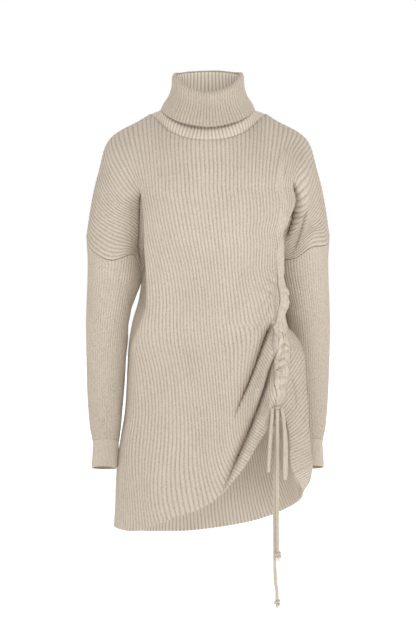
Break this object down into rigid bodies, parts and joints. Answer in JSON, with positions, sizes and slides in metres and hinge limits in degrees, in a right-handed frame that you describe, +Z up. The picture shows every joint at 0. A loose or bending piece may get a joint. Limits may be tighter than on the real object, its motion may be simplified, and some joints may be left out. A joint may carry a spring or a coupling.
{
  "type": "turtleneck tunic sweater",
  "caption": "Long drop-shoulder rib-knit tunic in its worn form, with a folded turtleneck, long sleeves with cuffs, and a drawstring casing that gathers one side of the front hem.",
  "frame": {"origin": "the point between the wearer's shoulders where the shoulders hold the garment, midway across and front to back, at the height of the shoulder seams where they meet the neckline", "axes": "+X towards the wearer's left, -Y towards the front, +Z up"},
  "size_m": [0.435, 0.2385, 0.9467],
  "materials": {
    "body_knit": "matt chunky rib knit",
    "sleeve_knit": "matt rib knit, finer than the body's",
    "cuff_knit": "matt fine rib knit",
    "collar_knit": "matt fine rib knit",
    "casing_knit": "matt plain knit, gathered",
    "cord_knit": "matt knitted tube cord"
  },
  "bodies": {
    "root": {"front_panel": "body_knit", "back_panel": "body_knit", "sleeve_left": "sleeve_knit", "sleeve_right": "sleeve_knit", "cuff_left": "cuff_knit", "cuff_right": "cuff_knit", "turtleneck_collar": "collar_knit", "drawstring_casing": "casing_knit", "bow_knot": "cord_knit", "bow_loop_left": "cord_knit", "bow_loop_right": "cord_knit", "cord_end_short": "cord_knit", "cord_end_long": "cord_knit"}
  },
  "joints": []
}
